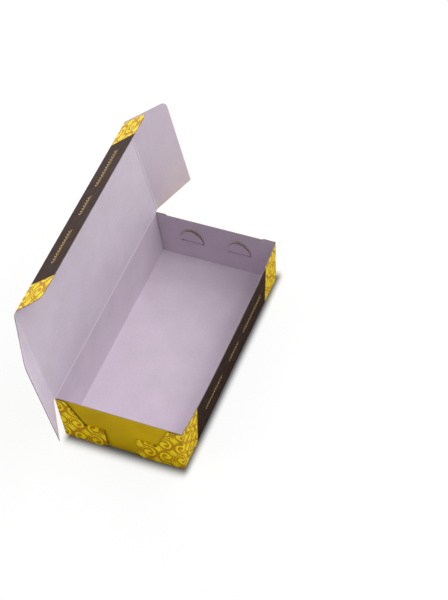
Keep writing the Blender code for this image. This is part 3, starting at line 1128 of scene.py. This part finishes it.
def build_lid_panel(lid, art):
    """The lid itself, from the hinge line to the front fold."""
    def same(p):
        return (p[0], p[1])

    far = LID_END - CREASE
    reach = LID_WIDTH - CREASE

    # ink cracks and painted highlight along the hinge; painted shade inside along the far fold
    def lid_cracks_highlight_and_shade(point):
        return fold_nearness(point[0]) or -LID_END_SHADE * fold_nearness(far - point[1])

    shapes = banded(art, 0, LID_WIDTH, LID_END, same, on_lid=True) + art.medallion(LID_WIDTH / 2)
    cuts = grid_cuts((0, -far), (reach, far), [FOLD_MARK_WIDTH], [far - FOLD_MARK_WIDTH])
    panel = board("lid_board", box_loop((0, -far), (reach, far)), flat(lid), art, shapes,
                  cuts=cuts, crease=lid_cracks_highlight_and_shade)
    stands_for(panel, "lid", "lid_panel")


def build_front_flap(front, root, art):
    """The tuck flap, with its free corners rounded."""
    def to_front(p):
        return (p[0] - LID_WIDTH, p[1])

    tip = root - FRONT_FLAP_TAPER
    outline = rounded([
        (CREASE, -root, 0),
        (FRONT_FLAP_DEPTH, -tip, FRONT_FLAP_RADIUS),
        (FRONT_FLAP_DEPTH, tip, FRONT_FLAP_RADIUS),
        (CREASE, root, 0)])
    shapes = banded(art, LID_WIDTH, LID_WIDTH + FRONT_FLAP_DEPTH, LID_END, to_front,
                    LID_WIDTH + FRONT_FLAP_LAURELS)
    flap = board("front_flap_board", outline, flat(front), art, shapes)
    stands_for(flap, "front_flap", "lid_front_flap")


def build_end_flap(end, end_name, lid, art):
    """An end flap of the lid, and its fold."""
    line = lid @ Matrix.Translation((0, end * LID_END, 0))
    matrix = line @ Matrix.Rotation(-end * END_FLAP_FOLD[end], 4, "X")
    tip = LID_WIDTH - END_FLAP_FRONT_INSET - END_FLAP_TAPER
    outline = rounded([
        (END_FLAP_HINGE_INSET, end * CREASE, 0),
        (LID_WIDTH - END_FLAP_FRONT_INSET, end * CREASE, 0),
        (tip, end * END_FLAP_DEPTH, END_FLAP_RADIUS),
        (END_FLAP_HINGE_INSET, end * END_FLAP_DEPTH, 0)])

    def to_flap(p):
        return (p[0], p[1] - end * LID_END)

    # ink cracks, and a painted highlight inside, along the fold
    def flap_cracks_and_highlight(point):
        return END_FLAP_CRACKS_AND_HIGHLIGHT * fold_nearness(end * point[1] - CREASE)

    shapes = art.scroll_shapes(to_flap, (
        (0, end * (LID_END - SPARE)),
        (LID_WIDTH, end * (LID_END + END_FLAP_DEPTH + SPARE))))
    branches = moved(art.branches, BRANCH_ACROSS, end * BRANCH_DEPTH)
    shapes += [("brown", loop) for loop in branches]
    cuts = grid_cuts((0, 0), (LID_WIDTH, 0), along=[end * (CREASE + FOLD_MARK_WIDTH)])
    flap = board(end_name + "_end_flap_board", outline, flat(matrix), art, shapes,
                 cuts=cuts, crease=flap_cracks_and_highlight)
    stands_for(flap, end_name + "_end_flap", end_name + "_lid_end_flap")

    def to_strip(p):
        return ((end * p[1] - LID_END + CREASE) / (2 * CREASE), -end * p[0])

    shapes = art.scroll_shapes(to_strip, (
        (0, end * (LID_END - SPARE)), (LID_WIDTH, end * (LID_END + 2 * SPARE))))
    quarter = Matrix.Rotation(end * pi / 2, 4, "Z")
    fold = Fold(line @ quarter, matrix @ quarter)
    low, high = sorted((-end * END_FLAP_HINGE_INSET, -end * (LID_WIDTH - END_FLAP_FRONT_INSET)))
    strip = fold.strip(end_name + "_end_fold", low, high, END_FOLD_LENGTHS, shapes, art)
    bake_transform(strip)


# Studio


def vector_step(operation, socket, *others):
    """A Vector Math node on a socket and other sockets or vectors."""
    given = dict(enumerate((socket, *others)))
    node = add(socket.id_data, "ShaderNodeVectorMath", given, operation=operation)
    return node.outputs["Value" if operation == "LENGTH" else "Vector"]


def ramp(source, low, high):
    """A smooth rise from 0 to 1 between two values."""
    given = {"Value": source, "From Min": low, "From Max": high}
    node = add(source.id_data, "ShaderNodeMapRange", given, interpolation_type="SMOOTHSTEP")
    return node.outputs["Result"]


def mix_shaders(factor, first, second, output):
    """End a tree in a mix of two shader nodes."""
    given = {"Fac": factor, 1: first.outputs[0], 2: second.outputs[0]}
    mix = add(factor.id_data, "ShaderNodeMixShader", given)
    feed(output, {"Surface": mix.outputs[0]})


def studio_paper():
    """White paper with a painted contact shadow round the tray over the real shadow near the carton,
    and plain white further off.
    """
    material = bpy.data.materials.new("studio_paper")
    material.use_nodes = True
    tree = material.node_tree
    tree.nodes.clear()
    place = add(tree, "ShaderNodeTexCoord").outputs["Object"]
    path = add(tree, "ShaderNodeLightPath").outputs

    # painted contact shadow: the paper turns grey towards the footprint of the tray
    shifted = vector_step("SUBTRACT", place, (CONTACT_SHIFT, 0, 0))
    edge = (TRAY_WIDTH / 2 * MM - CONTACT_SHIFT, TRAY_LENGTH / 2 * MM, 0)
    beyond = vector_step("SUBTRACT", vector_step("ABSOLUTE", shifted), edge)
    beyond = vector_step("MULTIPLY", beyond, (SIDE_NARROWING, 1, 1))
    gone = vector_step("LENGTH", vector_step("MAXIMUM", beyond, (0, 0, 0)))
    clear = ramp(gone, 0, CONTACT_REACH)
    # painted shade: the paper looks darker in reflections
    painted_reflection_shade = calculate("MULTIPLY_ADD", path["Is Glossy Ray"], -GLOSS_SHADE, 1)
    tone = calculate("MULTIPLY", clear, painted_reflection_shade)
    paper = add(tree, "ShaderNodeBsdfDiffuse", {
        "Color": mixed(tone, PAINTED_SHADOW_GREY, PAPER_GREY)})

    away = ramp(vector_step("LENGTH", place), SHADOW_REACH, WHITE_REACH)
    seen = calculate("MAXIMUM", path["Is Camera Ray"], path["Is Glossy Ray"])
    seen = calculate("MAXIMUM", seen, path["Is Transmission Ray"])
    far_white = calculate("MULTIPLY", away, seen)
    near_white = calculate("MULTIPLY", clear, NEAR_WHITE)
    near_white = calculate("MULTIPLY", near_white, path["Is Camera Ray"])
    white = calculate("MAXIMUM", near_white, far_white)
    glow = add(tree, "ShaderNodeEmission")
    mix_shaders(white, paper, glow, add(tree, "ShaderNodeOutputMaterial"))
    return material


def soft_lamp(name, azimuth, elevation, power):
    """A square soft box aimed at the carton, its azimuth from +X towards +Y."""
    lamp = new_object(name, bpy.data.lights.new(name, "AREA"))
    lamp.data.size = LAMP_SIZE
    lamp.data.energy = power
    across, up = radians(azimuth), radians(elevation)
    toward = Vector((cos(up) * cos(across), cos(up) * sin(across), sin(up)))
    lamp.location = toward * LAMP_DISTANCE
    lamp.rotation_euler = (-toward).to_track_quat("-Z", "Y").to_euler()


def build_floor():
    """A wide sheet of studio paper under the carton."""
    sheet = box_loop((-STUDIO_HALF, -STUDIO_HALF), (STUDIO_HALF, STUDIO_HALF))
    mesh = flat_mesh("studio_floor", [sheet], studio_paper())
    new_object("studio_floor", mesh)


def build_world():
    """A dim white world, which the camera sees as plain white."""
    world = bpy.data.worlds.new("studio")
    bpy.context.scene.world = world
    world.use_nodes = True
    tree = world.node_tree
    dim = tree.nodes["Background"]
    feed(dim, {"Color": (1, 1, 1), "Strength": WORLD_LIGHT})
    white = add(tree, "ShaderNodeBackground", {"Color": (1, 1, 1), "Strength": 1.0})
    seen = add(tree, "ShaderNodeLightPath").outputs["Is Camera Ray"]
    mix_shaders(seen, dim, white, tree.nodes["World Output"])


def build_camera():
    """The camera at the photograph's viewing angle."""
    camera = new_object("camera", bpy.data.cameras.new("camera"))
    camera.data.lens = CAMERA_LENS
    camera.data.clip_end = CAMERA_REACH
    forward, up = Vector(CAMERA_FORWARD), Vector(CAMERA_UP)
    right = forward.cross(up).normalized()
    turn = Matrix((right, up, -forward)).transposed().to_4x4()
    camera.matrix_world = Matrix.Translation(Vector(CAMERA_PLACE) * MM) @ turn
    bpy.context.scene.camera = camera


def build_studio():
    """Floor, world, lamps and camera."""
    bpy.context.scene.view_settings.view_transform = "Standard"
    build_floor()
    build_world()
    for name, azimuth, elevation, power in LAMPS:
        soft_lamp(name, azimuth, elevation, power)
    build_camera()


def main():
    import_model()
    inks = {name: ink(name + "_ink", *finish) for name, *finish in INKS}
    inks["inner_board"] = inner_board("lilac_inner_board", LILAC)
    for key, name, colour in EDGES:
        inks[key] = cut_edge(name, colour)
    art = Print(inks)
    build_tray(art)
    build_lid(art)
    build_studio()


main()
